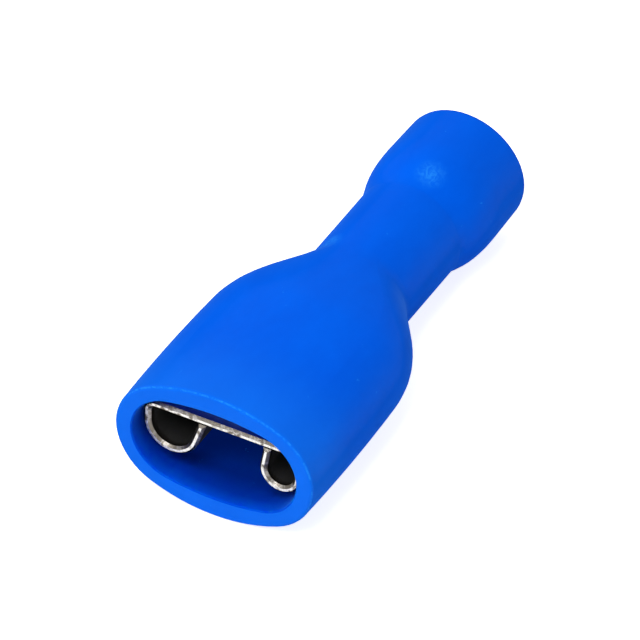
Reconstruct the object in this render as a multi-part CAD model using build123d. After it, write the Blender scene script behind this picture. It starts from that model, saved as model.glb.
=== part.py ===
from build123d import *
import os
from math import asin, cos, degrees, radians, sin, tan

# Fully insulated female spade terminal, all sizes in mm.
# The mouth faces -Y and the wire enters from +Y. The mouth's front plane is y = 0 and
# the axis of the round neck is x = z = 0. The terminal's flat base is on the +Z side.

# The tab that plugs in, and the brass strip the terminal is folded from
tab_width = 6.3
tab_play = 0.245
sheet = 0.34
edge_bevel = 0.11

# Receptacle: a flat base with both edges rolled over
base_height = 1.19
base_corner_radius = 0.6
roll_drop = 2.44
roll_length = 7.2
left_roll_radius = 1.32
left_roll_lean = 19.0
right_roll_radius = 0.98
right_roll_lean = -10.0
roll_edge_gap = 0.08

# Locking dimple in the base
dimple_setback = 3.9
dimple_radius = 1.0
dimple_depth = 0.3

# Open channel between the receptacle and the barrel
channel_width = 4.6
channel_height = 1.9
channel_corner_radius = 0.6
channel_root = 0.35
channel_length = 3.2

# Crimp barrel
barrel_bore_radius = 1.2
barrel_length = 5.6
barrel_seam = 0.06
groove_count = 3
groove_width = 0.35
groove_depth = 0.08
groove_pitch = 1.2
barrel_lead_in = 0.1

# Housing: clearances round the terminal, then its own walls
recess = 0.7
side_gap = 0.165
height_gap = 1.04
end_gap = 0.1
barrel_gap = 0.02
cavity_rise = 0.03
cavity_draft = 0.02
cavity_join_angle = 78.0
side_wall = 0.8
flank_wall = 0.96
neck_wall = 0.91

# Housing: outer form
body_join_angle = 66.0
mouth_lip = 0.3
side_swell = 0.075
height_draft = 0.2
shoulder_lead = 0.6
shoulder_radius = 5.3
shoulder_slope = 35.3
shoulder_blend = 1.0
rim_round = 0.15
rim_inner_bevel = 0.06

# Housing: bell for the wire's insulation
flare_lead = 0.12
flare_length = 2.618
flare_foot_ease = 0.55
flare_crown_ease = 1.774
bell_rise = 0.466
bell_taper = 0.056
bell_wall = 0.7
bell_length = 2.548
bell_round = 0.275
round_steps = 3
funnel_slope = 45.0

# Sizes that follow from the ones above
receptacle_width = tab_width + 2 * (sheet + tab_play)
receptacle_end = recess + roll_length
channel_start = receptacle_end + channel_root
barrel_start = channel_start + channel_length
barrel_end = barrel_start + barrel_length
barrel_radius = barrel_bore_radius + sheet

cavity_half_width = receptacle_width / 2 + side_gap
cavity_half_height = roll_drop / 2 + height_gap
mouth_half_width = cavity_half_width + side_wall
mouth_half_height = cavity_half_height + flank_wall
neck_bore_radius = barrel_radius + barrel_gap
neck_radius = neck_bore_radius + neck_wall

shoulder_start = receptacle_end - shoulder_lead
shoulder_arc_end = shoulder_start + shoulder_radius * sin(radians(shoulder_slope))
shoulder_arc_drop = shoulder_radius * (1 - cos(radians(shoulder_slope)))
slope_drop = mouth_half_width - shoulder_arc_drop - neck_radius
shoulder_corner = shoulder_arc_end + slope_drop / tan(radians(shoulder_slope))
neck_start = shoulder_corner + shoulder_blend * tan(radians(shoulder_slope / 2))
slope_end = neck_start - shoulder_blend * sin(radians(shoulder_slope))

cavity_end = shoulder_corner - neck_wall * tan(radians(shoulder_slope / 2))
core_end = receptacle_end + end_gap

bell_radius = neck_radius + bell_rise
flare_start = barrel_end - flare_lead
flare_end = flare_start + flare_length
overall_length = flare_end + bell_length
bell_bore_radius = bell_radius - bell_wall


def across(y):
    """The plane across the axis at y, with its own x along X and its own y along Z."""
    return Plane(origin=(0, y, 0), x_dir=(1, 0, 0), z_dir=(0, -1, 0))


def oval(half_width, half_height, y, join_angle, rise=0.0):
    """A closed section of four tangent arcs: two tight end arcs and two flat flank arcs."""
    c = cos(radians(join_angle))
    s = sin(radians(join_angle))
    end_radius = (half_height * c - half_width * (1 - s)) / (s + c - 1)
    join_x = half_width - end_radius * (1 - c)
    join_z = end_radius * s
    corners = [(join_x, -join_z), (join_x, join_z), (-join_x, join_z), (-join_x, -join_z)]
    middles = [(half_width, 0), (0, half_height), (-half_width, 0), (0, -half_height)]
    arcs = []
    for i, middle in enumerate(middles):
        arcs.append(ThreePointArc(corners[i], middle, corners[(i + 1) % 4]))
    return across(y) * Pos(0, rise) * make_face(arcs)


def shoulder_angle(y):
    """How far the side of the housing leans in at y, in degrees."""
    if y <= shoulder_start:
        return 0.0
    if y <= shoulder_arc_end:
        return degrees(asin((y - shoulder_start) / shoulder_radius))
    if y <= slope_end:
        return shoulder_slope
    return degrees(asin((neck_start - y) / shoulder_blend))


def half_width(y):
    """Half the housing's width: a swelled side, a round shoulder, a slope and a hollow blend."""
    if y <= shoulder_start:
        t = (y - mouth_lip) / (shoulder_start - mouth_lip)
        return mouth_half_width + side_swell * 4 * t * (1 - t)
    if y <= shoulder_arc_end:
        return mouth_half_width - shoulder_radius * (1 - cos(radians(shoulder_angle(y))))
    if y <= slope_end:
        return neck_radius + (shoulder_corner - y) * tan(radians(shoulder_slope))
    return neck_radius + shoulder_blend * (1 - cos(radians(shoulder_angle(y))))


def half_height(y):
    """Half the housing's height: a slight draft, then a soft double curve down to the neck."""
    if y <= shoulder_start:
        return mouth_half_height - height_draft * (y - mouth_lip) / (shoulder_start - mouth_lip)
    t = (y - shoulder_start) / (neck_start - shoulder_start)
    fall = mouth_half_height - height_draft - neck_radius
    return neck_radius + fall * (1 - t * t * (3 - 2 * t))


def spaced(start, end, count):
    """Evenly spaced places after start, up to and including end."""
    return [start + (end - start) * (i + 1) / count for i in range(count)]


def quarter_round(radius):
    """A rounded edge in flat steps: how far each corner is cut in, and how far it is up."""
    corners = []
    for i in range(round_steps + 1):
        angle = radians(90 * i / round_steps)
        corners.append((radius * (1 - cos(angle)), radius * sin(angle)))
    return corners


def housing_body():
    """The wide half of the housing, from the mouth to the neck, solid: lip, sides, shoulders."""
    lip = [(0, mouth_lip)]
    for cut, back in quarter_round(rim_round):
        lip.append((cut, rim_round - back))
    body = loft(
        [
            oval(mouth_half_width - cut, mouth_half_height - cut, y, body_join_angle)
            for cut, y in reversed(lip)
        ],
        ruled=True,
    )
    for start, end, count in (
        (mouth_lip, shoulder_start, 2),
        (shoulder_start, slope_end, 4),
        (slope_end, neck_start, 2),
    ):
        stations = [start] + spaced(start, end, count)
        body += loft([oval(half_width(y), half_height(y), y, body_join_angle) for y in stations])
    return body


def housing_cavity():
    """The hollow in the wide half: room for the receptacle, then a taper to the neck's bore."""
    rear_width = cavity_half_width - cavity_draft
    rear_height = cavity_half_height - cavity_draft
    sections = [
        oval(cavity_half_width, cavity_half_height, 0, cavity_join_angle, cavity_rise),
        oval(rear_width, rear_height, core_end, cavity_join_angle, cavity_rise),
    ]
    for y in spaced(core_end, cavity_end, 2)[:-1]:
        share = (y - core_end) / (cavity_end - core_end)
        wall = side_wall + (neck_wall - side_wall) * share
        width = half_width(y) - wall / cos(radians(shoulder_angle(y)))
        height = half_height(y) - flank_wall - (neck_wall - flank_wall) * share
        sections.append(oval(width, height, y, cavity_join_angle, cavity_rise * (1 - share)))
    sections.append(oval(neck_bore_radius, neck_bore_radius, cavity_end, cavity_join_angle))
    straight = loft(sections[:2])
    taper = loft(sections[1:], ruled=True)
    return straight + taper


def turned(outline):
    """A solid turned round the Y axis from a closed outline of edges in the XY plane."""
    return revolve(make_face(outline), Axis.Y)


def neck_and_bell():
    """The round half of the housing: neck, flare and bell, solid."""
    flare = Bezier(
        (neck_radius, flare_start),
        (neck_radius, flare_start + flare_foot_ease),
        (bell_radius, flare_end - flare_crown_ease),
        (bell_radius, flare_end),
    )
    edge = [
        (bell_radius - bell_taper - cut, overall_length - bell_round + up)
        for cut, up in quarter_round(bell_round)
    ]
    outline = [
        Polyline((0, overall_length), (0, neck_start), (neck_radius, neck_start), flare @ 0),
        flare,
        Polyline(flare @ 1, *edge, (0, overall_length)),
    ]
    return turned(outline)


def neck_bore():
    """The bore that grips the barrel, the lip that stops it, the funnel and the bell's bore."""
    start = cavity_end - neck_bore_radius / 2
    funnel_length = (bell_bore_radius - barrel_bore_radius) / tan(radians(funnel_slope))
    stop = barrel_end + barrel_gap
    outline = Polyline(
        (0, start),
        (neck_bore_radius, start),
        (neck_bore_radius, stop),
        (barrel_bore_radius, stop),
        (bell_bore_radius, stop + funnel_length),
        (bell_bore_radius, overall_length + 1),
        (0, overall_length + 1),
        (0, start),
    )
    return turned(outline)


def housing():
    """The blue sleeve, moulded in one piece."""
    sleeve = housing_body() + neck_and_bell() - housing_cavity() - neck_bore()
    front = sleeve.faces().sort_by(Axis.Y)[0]
    return chamfer(front.inner_wires()[0].edges(), rim_inner_bevel)


def roll_points(side, roll_radius, lean, inset):
    """Points along one rolled edge, on the sheet's outer face or inset to its inner face."""
    half = receptacle_width / 2 - inset
    top = base_height - inset
    corner = base_corner_radius - inset
    corner_cut = corner * (1 - cos(radians(45)))
    radius = roll_radius - inset
    centre_x = receptacle_width / 2 - roll_radius
    centre_z = base_height - roll_drop + roll_radius
    turn = radians(lean)
    leg_x = centre_x - radius * cos(turn)
    leg_z = centre_z - radius * sin(turn)
    free_z = base_height - sheet - roll_edge_gap
    points = {
        "base": (half - corner, top),
        "corner": (half - corner_cut, top - corner_cut),
        "side": (half, top - corner),
        "foot": (half, centre_z),
        "bottom": (centre_x, centre_z - radius),
        "leg": (leg_x, leg_z),
        "free": (leg_x - (free_z - leg_z) * tan(turn), free_z),
    }
    return {name: (side * x, z) for name, (x, z) in points.items()}


def roll_line(p):
    """The line of one rolled edge: corner, side, round bottom and the leg back up."""
    return [
        ThreePointArc(p["base"], p["corner"], p["side"]),
        Line(p["side"], p["foot"]),
        ThreePointArc(p["foot"], p["bottom"], p["leg"]),
        Line(p["leg"], p["free"]),
    ]


def receptacle_section():
    """The folded sheet seen from the front: a flat base with both edges rolled over."""
    rolls = [(-1, left_roll_radius, left_roll_lean), (1, right_roll_radius, right_roll_lean)]
    lines = []
    ends = []
    for inset in (0, sheet):
        left, right = [roll_points(*roll, inset) for roll in rolls]
        lines += [Line(left["base"], right["base"])] + roll_line(left) + roll_line(right)
        ends.append((left["free"], right["free"]))
    outer, inner = ends
    lines += [Line(outer[0], inner[0]), Line(outer[1], inner[1])]
    return make_face(lines)


def receptacle():
    """The rolled receptacle, its front edges bevelled to lead the tab in."""
    section = across(recess) * receptacle_section()
    solid = extrude(section, amount=-roll_length)
    return chamfer(solid.edges().group_by(Axis.Y)[0], edge_bevel)


def dimple():
    """The pressed dimple that drops into the tab's hole: the bump and the hollow above it."""
    centre_z = base_height - sheet - dimple_depth + dimple_radius
    place = Pos(0, recess + dimple_setback, centre_z)
    above = Pos(0, recess + dimple_setback, base_height + dimple_radius)
    trim = above * Box(4 * dimple_radius, 4 * dimple_radius, 2 * dimple_radius)
    bump = place * Sphere(dimple_radius) - trim
    hollow = place * Sphere(dimple_radius - sheet)
    return bump, hollow


def channel_section(inset):
    """The channel's front section: four flats and four corners, closed for lofting."""
    half = channel_width / 2 - inset
    top = base_height - inset
    bottom = base_height - channel_height + inset
    corner = channel_corner_radius - inset
    cut = corner * (1 - cos(radians(45)))
    lines = [
        Line((-half + corner, top), (half - corner, top)),
        ThreePointArc((half - corner, top), (half - cut, top - cut), (half, top - corner)),
        Line((half, top - corner), (half, bottom + corner)),
        ThreePointArc((half, bottom + corner), (half - cut, bottom + cut), (half - corner, bottom)),
        Line((half - corner, bottom), (-half + corner, bottom)),
        ThreePointArc((-half + corner, bottom), (-half + cut, bottom + cut), (-half, bottom + corner)),
        Line((-half, bottom + corner), (-half, top - corner)),
        ThreePointArc((-half, top - corner), (-half + cut, top - cut), (-half + corner, top)),
    ]
    return across(channel_start) * make_face(lines)


def barrel_section(radius):
    """A circle of eight equal arcs, so that each meets its own edge of the channel."""
    def at(angle):
        return (radius * sin(radians(angle)), radius * cos(radians(angle)))

    arcs = []
    for i in range(8):
        middle = 45 * i
        arcs.append(ThreePointArc(at(middle - 22.5), at(middle), at(middle + 22.5)))
    return across(barrel_start) * make_face(arcs)


def channel():
    """The tapering channel, open below where the sheet's edges draw together."""
    outer = loft([channel_section(0), barrel_section(barrel_radius)], ruled=True)
    inner = loft([channel_section(sheet), barrel_section(barrel_bore_radius)], ruled=True)
    mouth = channel_width / 2 - channel_corner_radius
    opening = Polyline(
        (-mouth, channel_start),
        (mouth, channel_start),
        (barrel_seam / 2, barrel_start),
        (-barrel_seam / 2, barrel_start),
        (-mouth, channel_start),
    )
    return outer - inner - extrude(make_face(opening), amount=-2 * channel_height)


def channel_root_plate():
    """The short flat of the base that joins the receptacle to the channel."""
    flat = channel_width - 2 * channel_corner_radius
    middle = (receptacle_end + channel_start) / 2
    place = Pos(0, middle, base_height - sheet / 2)
    return place * Box(flat, channel_root, sheet)


def barrel():
    """The crimp barrel: a rolled tube with a butt seam below and grooves inside."""
    outer_end = barrel_bore_radius + barrel_lead_in
    outline = Polyline(
        (barrel_bore_radius, barrel_start),
        (barrel_radius, barrel_start),
        (barrel_radius, barrel_end),
        (outer_end, barrel_end),
        (barrel_bore_radius, barrel_end - barrel_lead_in),
        (barrel_bore_radius, barrel_start),
    )
    tube = turned(outline)
    middle = (barrel_start + barrel_end) / 2
    for i in range(groove_count):
        y = middle + (i - (groove_count - 1) / 2) * groove_pitch
        ring = Rot(90, 0, 0) * Cylinder(barrel_bore_radius + groove_depth, groove_width)
        tube -= Pos(0, y, 0) * ring
    seam = Box(barrel_seam, barrel_length, 2 * barrel_radius, align=(Align.CENTER, Align.CENTER, Align.MAX))
    return tube - Pos(0, middle, 0) * seam


def terminal():
    """The tinned brass terminal, folded and stamped from one strip."""
    bump, hollow = dimple()
    return receptacle() + bump - hollow + channel_root_plate() + channel() + barrel()


os.makedirs("parts", exist_ok=True)
for name, piece in (("housing", housing()), ("terminal", terminal())):
    export_step(piece, f"parts/{name}.step")
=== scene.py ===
import bpy
from math import atan2, cos, radians, sin
from mathutils import Matrix, Vector


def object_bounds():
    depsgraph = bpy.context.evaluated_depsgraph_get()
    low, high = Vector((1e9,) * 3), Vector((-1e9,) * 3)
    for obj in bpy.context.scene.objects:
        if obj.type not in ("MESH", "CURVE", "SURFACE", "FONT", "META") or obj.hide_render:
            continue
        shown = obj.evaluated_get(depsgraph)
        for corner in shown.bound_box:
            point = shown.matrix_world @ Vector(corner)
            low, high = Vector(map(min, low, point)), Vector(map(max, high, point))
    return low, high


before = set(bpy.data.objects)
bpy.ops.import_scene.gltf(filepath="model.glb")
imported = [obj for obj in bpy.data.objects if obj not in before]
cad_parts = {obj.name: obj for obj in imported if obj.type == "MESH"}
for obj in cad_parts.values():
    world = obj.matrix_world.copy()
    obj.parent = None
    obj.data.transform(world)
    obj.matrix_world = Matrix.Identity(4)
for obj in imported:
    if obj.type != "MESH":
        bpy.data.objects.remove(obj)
cad_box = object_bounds()

# Camera. The part is seen from the front, from its right and from well above, through a long
# lens at about half a metre, with the mouth at the lower left and the bell at the upper right.
camera_azimuth = radians(28.7086)
camera_elevation = radians(39.9502)
camera_roll = radians(0.4131)
camera_distance = 0.48226
image_size = 640
pixels_per_metre = 24162.1
mouth_pixel = (213.1287, 457.7096)
sensor_width = 36.0

camera_back = Vector((
    sin(camera_azimuth) * cos(camera_elevation),
    -cos(camera_azimuth) * cos(camera_elevation),
    sin(camera_elevation),
))
level_right = Vector((cos(camera_azimuth), sin(camera_azimuth), 0))
level_up = camera_back.cross(level_right)
camera_right = level_right * cos(camera_roll) + level_up * sin(camera_roll)
camera_up = level_up * cos(camera_roll) - level_right * sin(camera_roll)
mouth_right = (mouth_pixel[0] - image_size / 2) / pixels_per_metre
mouth_up = (image_size / 2 - mouth_pixel[1]) / pixels_per_metre

lens = bpy.data.cameras.new("camera")
lens.sensor_width = sensor_width
lens.lens = pixels_per_metre * camera_distance * sensor_width / image_size
camera = bpy.data.objects.new("camera", lens)
turn = Matrix((camera_right, camera_up, camera_back)).transposed()
place = camera_back * camera_distance - camera_right * mouth_right - camera_up * mouth_up
camera.matrix_world = Matrix.Translation(place) @ turn.to_4x4()
bpy.context.scene.collection.objects.link(camera)
bpy.context.scene.camera = camera

# Shared effects. Both pieces dull with the depth behind the mouth, where their colour is painted
# darker as painted shade of the hollow, and both carry the small uneven tone and fine grain of a
# part made by the thousand and tipped in a bag.
depth = bpy.data.node_groups.new("depth_behind_mouth", "ShaderNodeTree")
for name in ("Start", "End", "Wander"):
    depth.interface.new_socket(name, in_out="INPUT", socket_type="NodeSocketFloat")
depth.interface.new_socket("Depth", in_out="OUTPUT", socket_type="NodeSocketFloat")
nodes, links = depth.nodes, depth.links
given = nodes.new("NodeGroupInput")
result = nodes.new("NodeGroupOutput")
place = nodes.new("ShaderNodeNewGeometry")
axes = nodes.new("ShaderNodeSeparateXYZ")
links.new(place.outputs["Position"], axes.inputs[0])
cloud = nodes.new("ShaderNodeTexNoise")
cloud.inputs["Scale"].default_value = 1200
cloud.inputs["Detail"].default_value = 3
links.new(place.outputs["Position"], cloud.inputs["Vector"])
noise_middle = 0.5
centred = nodes.new("ShaderNodeMath")
centred.operation = "SUBTRACT"
centred.inputs[1].default_value = noise_middle
links.new(cloud.outputs["Fac"], centred.inputs[0])
shifted = nodes.new("ShaderNodeMath")
shifted.operation = "MULTIPLY_ADD"
links.new(centred.outputs[0], shifted.inputs[0])
links.new(given.outputs["Wander"], shifted.inputs[1])
links.new(axes.outputs["Y"], shifted.inputs[2])
ramp = nodes.new("ShaderNodeMapRange")
ramp.interpolation_type = "SMOOTHSTEP"
links.new(shifted.outputs[0], ramp.inputs["Value"])
links.new(given.outputs["Start"], ramp.inputs["From Min"])
links.new(given.outputs["End"], ramp.inputs["From Max"])
links.new(ramp.outputs["Result"], result.inputs["Depth"])

marks = bpy.data.node_groups.new("handling_marks", "ShaderNodeTree")
marks.interface.new_socket("Stretch", in_out="INPUT", socket_type="NodeSocketVector")
for name in ("Relief", "Grain Scale"):
    marks.interface.new_socket(name, in_out="INPUT", socket_type="NodeSocketFloat")
for name in ("Tone", "Scuff"):
    marks.interface.new_socket(name, in_out="OUTPUT", socket_type="NodeSocketFloat")
marks.interface.new_socket("Normal", in_out="OUTPUT", socket_type="NodeSocketVector")
nodes, links = marks.nodes, marks.links
given = nodes.new("NodeGroupInput")
result = nodes.new("NodeGroupOutput")
place = nodes.new("ShaderNodeNewGeometry")
stretched = nodes.new("ShaderNodeVectorMath")
stretched.operation = "MULTIPLY"
links.new(place.outputs["Position"], stretched.inputs[0])
links.new(given.outputs["Stretch"], stretched.inputs[1])
tone = nodes.new("ShaderNodeTexNoise")
tone.inputs["Scale"].default_value = 420
tone.inputs["Detail"].default_value = 5
tone.inputs["Roughness"].default_value = 0.6
links.new(stretched.outputs[0], tone.inputs["Vector"])
links.new(tone.outputs["Fac"], result.inputs["Tone"])
scuff = nodes.new("ShaderNodeTexNoise")
scuff_to_grain = 0.35
coarser = nodes.new("ShaderNodeMath")
coarser.operation = "MULTIPLY"
coarser.inputs[1].default_value = scuff_to_grain
links.new(given.outputs["Grain Scale"], coarser.inputs[0])
links.new(coarser.outputs[0], scuff.inputs["Scale"])
scuff.inputs["Detail"].default_value = 7
scuff.inputs["Roughness"].default_value = 0.72
scuff.inputs["Distortion"].default_value = 0.6
links.new(stretched.outputs[0], scuff.inputs["Vector"])
worn = nodes.new("ShaderNodeMapRange")
worn.inputs["From Min"].default_value = 0.66
worn.inputs["From Max"].default_value = 0.74
links.new(scuff.outputs["Fac"], worn.inputs["Value"])
links.new(worn.outputs["Result"], result.inputs["Scuff"])
grain = nodes.new("ShaderNodeTexNoise")
grain.inputs["Detail"].default_value = 4
links.new(given.outputs["Grain Scale"], grain.inputs["Scale"])
links.new(stretched.outputs[0], grain.inputs["Vector"])
grain_height = 0.00002
relief = nodes.new("ShaderNodeBump")
relief.inputs["Distance"].default_value = grain_height
links.new(given.outputs["Relief"], relief.inputs["Strength"])
links.new(grain.outputs["Fac"], relief.inputs["Height"])
links.new(relief.outputs["Normal"], result.inputs["Normal"])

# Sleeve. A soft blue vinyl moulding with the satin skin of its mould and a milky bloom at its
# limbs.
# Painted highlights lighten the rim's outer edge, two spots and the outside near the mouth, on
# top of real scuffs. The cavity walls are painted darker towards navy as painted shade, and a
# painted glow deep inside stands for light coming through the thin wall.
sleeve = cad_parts["housing"]
vinyl = bpy.data.materials.new("soft_blue_vinyl")
vinyl.use_nodes = True
nodes, links = vinyl.node_tree.nodes, vinyl.node_tree.links
skin = nodes["Principled BSDF"]
place = nodes.new("ShaderNodeNewGeometry")
square_to_neck = (1, 0, 1)
spoke = nodes.new("ShaderNodeVectorMath")
spoke.operation = "MULTIPLY"
spoke.inputs[1].default_value = square_to_neck
links.new(place.outputs["Position"], spoke.inputs[0])
unit = nodes.new("ShaderNodeVectorMath")
unit.operation = "NORMALIZE"
links.new(spoke.outputs[0], unit.inputs[0])
outward = nodes.new("ShaderNodeVectorMath")
outward.operation = "DOT_PRODUCT"
links.new(unit.outputs[0], outward.inputs[0])
links.new(place.outputs["Normal"], outward.inputs[1])
inside = nodes.new("ShaderNodeMapRange")
inside.inputs["From Min"].default_value = -0.3
inside.inputs["From Max"].default_value = -0.6
links.new(outward.outputs["Value"], inside.inputs["Value"])
sunk = nodes.new("ShaderNodeGroup")
sunk.node_tree = depth
sunk.inputs["Start"].default_value = -0.001
sunk.inputs["End"].default_value = 0.003
sunk.inputs["Wander"].default_value = 0.0003
shade = nodes.new("ShaderNodeMath")
shade.operation = "MULTIPLY"
links.new(inside.outputs["Result"], shade.inputs[0])
links.new(sunk.outputs["Depth"], shade.inputs[1])
wear = nodes.new("ShaderNodeGroup")
wear.node_tree = marks
wear.inputs["Stretch"].default_value = (1, 0.5, 1)
wear.inputs["Relief"].default_value = 0.1
wear.inputs["Grain Scale"].default_value = 9000
darker_blue = (0.0, 0.092, 0.78, 1)
lighter_blue = (0.0, 0.148, 1.0, 1)
tint = nodes.new("ShaderNodeMix")
tint.data_type = "RGBA"
tint.inputs["A"].default_value = darker_blue
tint.inputs["B"].default_value = lighter_blue
links.new(wear.outputs["Tone"], tint.inputs["Factor"])
# Painted shade: the cavity walls are painted darker towards navy with depth behind the mouth,
# eased a little at the deepest as painted light coming through the wall.
unshaded = (1, 1, 1, 1)
deepest_shade = (1, 0.14, 0.24, 1)
shades_between = ((0.4, (1, 0.28, 0.48, 1)), (0.8, (1, 0.125, 0.25, 1)))
painted_cavity_shade = nodes.new("ShaderNodeValToRGB")
painted_cavity_shade.color_ramp.elements[0].color = unshaded
painted_cavity_shade.color_ramp.elements[1].color = deepest_shade
for depth_share, colour in shades_between:
    painted_cavity_shade.color_ramp.elements.new(depth_share).color = colour
links.new(shade.outputs[0], painted_cavity_shade.inputs["Fac"])
tone_with_painted_shade = nodes.new("ShaderNodeMix")
tone_with_painted_shade.data_type = "RGBA"
tone_with_painted_shade.blend_type = "MULTIPLY"
tone_with_painted_shade.inputs["Factor"].default_value = 1.0
links.new(tint.outputs["Result"], tone_with_painted_shade.inputs["A"])
links.new(painted_cavity_shade.outputs["Color"], tone_with_painted_shade.inputs["B"])
fibres = nodes.new("ShaderNodeTexNoise")
fibres.inputs["Scale"].default_value = 3800
fibres.inputs["Detail"].default_value = 4
fibres.inputs["Distortion"].default_value = 1.6
links.new(place.outputs["Position"], fibres.inputs["Vector"])
streaks = nodes.new("ShaderNodeMapRange")
streaks.inputs["From Min"].default_value = 0.4
streaks.inputs["From Max"].default_value = 0.66
streaks.inputs["To Min"].default_value = 0.25
links.new(fibres.outputs["Fac"], streaks.inputs["Value"])
# Painted highlights: two streaked pale spots, on the bell's flare and at the neck's left corner.
bell_painted_highlight = ((0.0005, 0.01785, 0.00266), 0.0009)
neck_painted_highlight = ((-0.00135, 0.0125, 0.00206), 0.0007)
painted_highlights = []
for spot, reach in (bell_painted_highlight, neck_painted_highlight):
    away = nodes.new("ShaderNodeVectorMath")
    away.operation = "DISTANCE"
    away.inputs[1].default_value = spot
    links.new(place.outputs["Position"], away.inputs[0])
    near = nodes.new("ShaderNodeMapRange")
    near.interpolation_type = "SMOOTHSTEP"
    near.inputs["From Min"].default_value = reach
    near.inputs["From Max"].default_value = 0.0
    links.new(away.outputs["Value"], near.inputs["Value"])
    painted_spot = nodes.new("ShaderNodeMath")
    painted_spot.operation = "MULTIPLY"
    links.new(near.outputs["Result"], painted_spot.inputs[0])
    links.new(streaks.outputs["Result"], painted_spot.inputs[1])
    painted_highlights.append(painted_spot.outputs[0])
heading = nodes.new("ShaderNodeSeparateXYZ")
links.new(place.outputs["Normal"], heading.inputs[0])
where = nodes.new("ShaderNodeSeparateXYZ")
links.new(place.outputs["Position"], where.inputs[0])
# Painted highlight along the rim's rounded outer edge, where it faces the front and up.
rim_painted_highlight = streaks.outputs["Result"]
for source, start, end in (
    (heading.outputs["Y"], -0.2, -0.6),
    (heading.outputs["Y"], -0.99, -0.9),
    (where.outputs["Y"], 0.0003, 0.0001),
    (outward.outputs["Value"], -0.1, 0.1),
):
    step = nodes.new("ShaderNodeMapRange")
    step.interpolation_type = "SMOOTHSTEP"
    step.inputs["From Min"].default_value = start
    step.inputs["From Max"].default_value = end
    links.new(source, step.inputs["Value"])
    narrowed = nodes.new("ShaderNodeMath")
    narrowed.operation = "MULTIPLY"
    links.new(rim_painted_highlight, narrowed.inputs[0])
    links.new(step.outputs["Result"], narrowed.inputs[1])
    rim_painted_highlight = narrowed.outputs[0]
painted_highlights.append(rim_painted_highlight)
# Painted light: the outside is painted paler near the mouth, fading back over 5 mm.
painted_front_level = 0.25
outside = nodes.new("ShaderNodeMapRange")
outside.inputs["To Min"].default_value = painted_front_level
outside.inputs["To Max"].default_value = 0.0
links.new(inside.outputs["Result"], outside.inputs["Value"])
painted_light_fade = nodes.new("ShaderNodeGroup")
painted_light_fade.node_tree = depth
painted_light_fade.inputs["Start"].default_value = 0.005
painted_light_fade.inputs["End"].default_value = 0.0
painted_light_fade.inputs["Wander"].default_value = 0.0006
painted_front_light = nodes.new("ShaderNodeMath")
painted_front_light.operation = "MULTIPLY"
links.new(outside.outputs["Result"], painted_front_light.inputs[0])
links.new(painted_light_fade.outputs["Depth"], painted_front_light.inputs[1])
painted_highlights.append(painted_front_light.outputs[0])
# Real scuffs and the painted highlights lighten the blue together.
scuffs_and_painted_highlights = wear.outputs["Scuff"]
for pale_place in painted_highlights:
    both = nodes.new("ShaderNodeMath")
    both.operation = "MAXIMUM"
    links.new(scuffs_and_painted_highlights, both.inputs[0])
    links.new(pale_place, both.inputs[1])
    scuffs_and_painted_highlights = both.outputs[0]
scuff_and_highlight_blue = (0.016, 0.26, 1.0, 1)
scuffed_and_highlit = nodes.new("ShaderNodeMix")
scuffed_and_highlit.data_type = "RGBA"
scuffed_and_highlit.inputs["B"].default_value = scuff_and_highlight_blue
links.new(scuffs_and_painted_highlights, scuffed_and_highlit.inputs["Factor"])
links.new(tone_with_painted_shade.outputs["Result"], scuffed_and_highlit.inputs["A"])
links.new(scuffed_and_highlit.outputs["Result"], skin.inputs["Base Color"])
slant = nodes.new("ShaderNodeLayerWeight")
slant.inputs["Blend"].default_value = 0.5
glare = nodes.new("ShaderNodeMapRange")
glare.inputs["From Min"].default_value = 0.2
glare.inputs["From Max"].default_value = 0.55
glare.inputs["To Min"].default_value = 0.3
glare.inputs["To Max"].default_value = 0.0
links.new(slant.outputs["Facing"], glare.inputs["Value"])
links.new(glare.outputs["Result"], skin.inputs["Specular IOR Level"])
skin.inputs["Specular IOR Level"].default_value = 0.15
satin = nodes.new("ShaderNodeMapRange")
satin.inputs["To Min"].default_value = 0.34
satin.inputs["To Max"].default_value = 0.46
links.new(wear.outputs["Tone"], satin.inputs["Value"])
links.new(satin.outputs["Result"], skin.inputs["Roughness"])
links.new(wear.outputs["Normal"], skin.inputs["Normal"])
# Painted glow: the deep inner walls emit a faint blue light that stands for light through the
# thin wall.
deep = nodes.new("ShaderNodeGroup")
deep.node_tree = depth
deep.inputs["Start"].default_value = 0.0012
deep.inputs["End"].default_value = 0.0025
deep.inputs["Wander"].default_value = 0.0003
painted_glow_mask = nodes.new("ShaderNodeMath")
painted_glow_mask.operation = "MULTIPLY"
links.new(inside.outputs["Result"], painted_glow_mask.inputs[0])
links.new(deep.outputs["Depth"], painted_glow_mask.inputs[1])
no_glow = (0, 0, 0, 1)
painted_wall_glow = (0, 0.0055, 0.068, 1)
painted_glow = nodes.new("ShaderNodeMix")
painted_glow.data_type = "RGBA"
painted_glow.inputs["A"].default_value = no_glow
painted_glow.inputs["B"].default_value = painted_wall_glow
links.new(painted_glow_mask.outputs[0], painted_glow.inputs["Factor"])
links.new(painted_glow.outputs["Result"], skin.inputs["Emission Color"])
skin.inputs["Emission Strength"].default_value = 1.0
links.new(inside.outputs["Result"], skin.inputs["Subsurface Weight"])
skin.inputs["Subsurface Radius"].default_value = (0.02, 0.3, 1.0)
skin.inputs["Subsurface Scale"].default_value = 0.0006
skin.inputs["Sheen Weight"].default_value = 0.42
skin.inputs["Sheen Roughness"].default_value = 0.34
skin.inputs["Sheen Tint"].default_value = (0.13, 0.4, 1.0, 1)
skin.inputs["IOR"].default_value = 1.2
skin.inputs["Specular Tint"].default_value = (0.0, 0.9, 1.0, 1)
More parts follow.
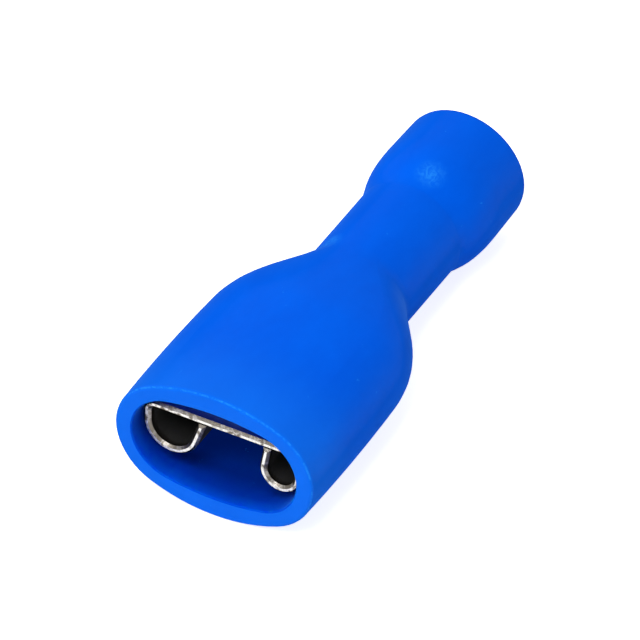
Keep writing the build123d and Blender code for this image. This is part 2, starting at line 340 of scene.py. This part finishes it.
sleeve.data.materials[0] = vinyl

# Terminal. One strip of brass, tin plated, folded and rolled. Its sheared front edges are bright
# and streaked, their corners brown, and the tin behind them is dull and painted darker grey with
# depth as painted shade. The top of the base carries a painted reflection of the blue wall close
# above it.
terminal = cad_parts["terminal"]
tin = bpy.data.materials.new("tinned_brass")
tin.use_nodes = True
nodes, links = tin.node_tree.nodes, tin.node_tree.links
plate = nodes["Principled BSDF"]
place = nodes.new("ShaderNodeNewGeometry")
facing = nodes.new("ShaderNodeSeparateXYZ")
links.new(place.outputs["Normal"], facing.inputs[0])
sunk = nodes.new("ShaderNodeGroup")
sunk.node_tree = depth
sunk.inputs["Start"].default_value = 0.00072
sunk.inputs["End"].default_value = 0.0012
sunk.inputs["Wander"].default_value = 0.0003
wear = nodes.new("ShaderNodeGroup")
wear.node_tree = marks
wear.inputs["Stretch"].default_value = (6, 0.8, 6)
wear.inputs["Relief"].default_value = 0.5
wear.inputs["Grain Scale"].default_value = 3500
raggedness = -1.6
ragged = nodes.new("ShaderNodeMath")
ragged.operation = "MULTIPLY_ADD"
ragged.inputs[1].default_value = raggedness
links.new(wear.outputs["Tone"], ragged.inputs[0])
links.new(facing.outputs["Y"], ragged.inputs[2])
sheared = nodes.new("ShaderNodeMapRange")
sheared.inputs["From Min"].default_value = -1.5
sheared.inputs["From Max"].default_value = -1.75
links.new(ragged.outputs[0], sheared.inputs["Value"])
mottle = nodes.new("ShaderNodeMapRange")
mottle.inputs["From Min"].default_value = 0.52
mottle.inputs["From Max"].default_value = 0.62
links.new(wear.outputs["Tone"], mottle.inputs["Value"])
nicked = nodes.new("ShaderNodeMath")
nicked.operation = "MAXIMUM"
links.new(mottle.outputs["Result"], nicked.inputs[0])
links.new(wear.outputs["Scuff"], nicked.inputs[1])
# Painted shade: the tin is painted from brown to darker grey with the depth behind the mouth.
brown_tin = (0.16, 0.142, 0.12, 1)
painted_shade_grey = (0.09, 0.09, 0.09, 1)
painted_depth_shade = nodes.new("ShaderNodeMix")
painted_depth_shade.data_type = "RGBA"
painted_depth_shade.inputs["A"].default_value = brown_tin
painted_depth_shade.inputs["B"].default_value = painted_shade_grey
links.new(sunk.outputs["Depth"], painted_depth_shade.inputs["Factor"])
# Painted reflection: the level top of the base is painted blue, for the blue wall mirrored close
# above it.
height = nodes.new("ShaderNodeSeparateXYZ")
links.new(place.outputs["Position"], height.inputs[0])
high_and_level = nodes.new("ShaderNodeMath")
high_and_level.operation = "MULTIPLY"
links.new(height.outputs["Z"], high_and_level.inputs[0])
links.new(facing.outputs["Z"], high_and_level.inputs[1])
painted_reflection_mask = nodes.new("ShaderNodeMapRange")
painted_reflection_mask.inputs["From Min"].default_value = 0.0011
painted_reflection_mask.inputs["From Max"].default_value = 0.00116
links.new(high_and_level.outputs[0], painted_reflection_mask.inputs["Value"])
painted_reflection_blue = (0.4, 0.66, 1.0, 1)
with_painted_reflection = nodes.new("ShaderNodeMix")
with_painted_reflection.data_type = "RGBA"
with_painted_reflection.inputs["B"].default_value = painted_reflection_blue
links.new(painted_reflection_mask.outputs["Result"], with_painted_reflection.inputs["Factor"])
links.new(painted_depth_shade.outputs["Result"], with_painted_reflection.inputs["A"])
sheared_metal = (0.7, 0.685, 0.65, 1)
brown_nick = (0.14, 0.12, 0.1, 1)
bright = nodes.new("ShaderNodeMix")
bright.data_type = "RGBA"
bright.inputs["A"].default_value = sheared_metal
bright.inputs["B"].default_value = brown_nick
links.new(nicked.outputs[0], bright.inputs["Factor"])
metal = nodes.new("ShaderNodeMix")
metal.data_type = "RGBA"
links.new(sheared.outputs["Result"], metal.inputs["Factor"])
links.new(with_painted_reflection.outputs["Result"], metal.inputs["A"])
links.new(bright.outputs["Result"], metal.inputs["B"])
links.new(metal.outputs["Result"], plate.inputs["Base Color"])
dulled = nodes.new("ShaderNodeMapRange")
dulled.inputs["To Min"].default_value = 0.28
dulled.inputs["To Max"].default_value = 0.6
links.new(sunk.outputs["Depth"], dulled.inputs["Value"])
links.new(dulled.outputs["Result"], plate.inputs["Roughness"])
links.new(wear.outputs["Normal"], plate.inputs["Normal"])
plate.inputs["Metallic"].default_value = 1.0
plate.inputs["Specular Tint"].default_value = (0.35, 0.3, 0.25, 1)
terminal.data.materials[0] = tin

# Floor. A plain white sheet. The part lies on the lip of its mouth and the front of its bell,
# so the sheet tips by the little that the bell is slimmer than the mouth.
bell_foot = (0.019548, -0.002936)
mouth_foot = cad_box[0][2]
floor_tip = atan2(bell_foot[1] - mouth_foot, bell_foot[0])
reach = 1.0
corners = [(-reach, -reach, 0), (reach, -reach, 0), (reach, reach, 0), (-reach, reach, 0)]
floor_mesh = bpy.data.meshes.new("floor")
floor_mesh.from_pydata(corners, [], [(0, 1, 2, 3)])
floor = bpy.data.objects.new("floor", floor_mesh)
floor.location = (0, 0, mouth_foot)
floor.rotation_euler = (floor_tip, 0, 0)
bpy.context.scene.collection.objects.link(floor)
paper = bpy.data.materials.new("white_paper")
paper.use_nodes = True
nodes, links = paper.node_tree.nodes, paper.node_tree.links
sheet = nodes["Principled BSDF"]
sheet.inputs["Base Color"].default_value = (0.9, 0.9, 0.9, 1)
sheet.inputs["Roughness"].default_value = 0.9
sheet.inputs["Specular IOR Level"].default_value = 0.1
sheet.inputs["Emission Color"].default_value = (1, 1, 1, 1)
path = nodes.new("ShaderNodeLightPath")
glow = path.outputs["Is Camera Ray"]
for ray in ("Is Glossy Ray", "Is Transmission Ray"):
    seen = nodes.new("ShaderNodeMath")
    seen.operation = "MAXIMUM"
    links.new(glow, seen.inputs[0])
    links.new(path.outputs[ray], seen.inputs[1])
    glow = seen.outputs[0]
paper_glow = 0.8
lift = nodes.new("ShaderNodeMath")
lift.operation = "MULTIPLY"
lift.inputs[1].default_value = paper_glow
links.new(glow, lift.inputs[0])
links.new(lift.outputs[0], sheet.inputs["Emission Strength"])
floor_mesh.materials.append(paper)

# Light. One soft lamp high above the mouth, a small one above the back, and a room that is darker
# on the part's right. The camera and the reflections see the room as pure white.
world = bpy.data.worlds.new("room")
bpy.context.scene.world = world
world.use_nodes = True
nodes, links = world.node_tree.nodes, world.node_tree.links
room = nodes["Background"]
room.inputs["Color"].default_value = (1, 1, 1, 1)
path = nodes.new("ShaderNodeLightPath")
side = nodes.new("ShaderNodeTexCoord")
across = nodes.new("ShaderNodeSeparateXYZ")
links.new(side.outputs["Generated"], across.inputs[0])
dimmer = nodes.new("ShaderNodeMapRange")
dimmer.inputs["From Min"].default_value = -1.0
dimmer.inputs["From Max"].default_value = 1.0
dimmer.inputs["To Min"].default_value = 0.58
dimmer.inputs["To Max"].default_value = 0.22
links.new(across.outputs["X"], dimmer.inputs["Value"])
strength = dimmer.outputs["Result"]
for ray in ("Is Camera Ray", "Is Glossy Ray", "Is Transmission Ray"):
    level = nodes.new("ShaderNodeMath")
    level.operation = "MAXIMUM"
    links.new(strength, level.inputs[0])
    links.new(path.outputs[ray], level.inputs[1])
    strength = level.outputs[0]
links.new(strength, room.inputs["Strength"])

middle = Vector((0, (cad_box[0][1] + cad_box[1][1]) / 2, 0))
for name, azimuth, elevation, distance, width, power in (
    ("key_lamp", 0, 57, 0.25, 0.12, 0.41),
    ("back_lamp", 175, 79, 0.30, 0.05, 0.02),
):
    lamp = bpy.data.lights.new(name, "AREA")
    lamp.size = width
    lamp.energy = power
    box = bpy.data.objects.new(name, lamp)
    away = Vector((
        sin(radians(azimuth)) * cos(radians(elevation)),
        -cos(radians(azimuth)) * cos(radians(elevation)),
        sin(radians(elevation)),
    ))
    box.location = middle + away * distance
    box.rotation_euler = away.to_track_quat("Z", "Y").to_euler()
    bpy.context.scene.collection.objects.link(box)

bpy.context.scene.view_settings.view_transform = "Standard"
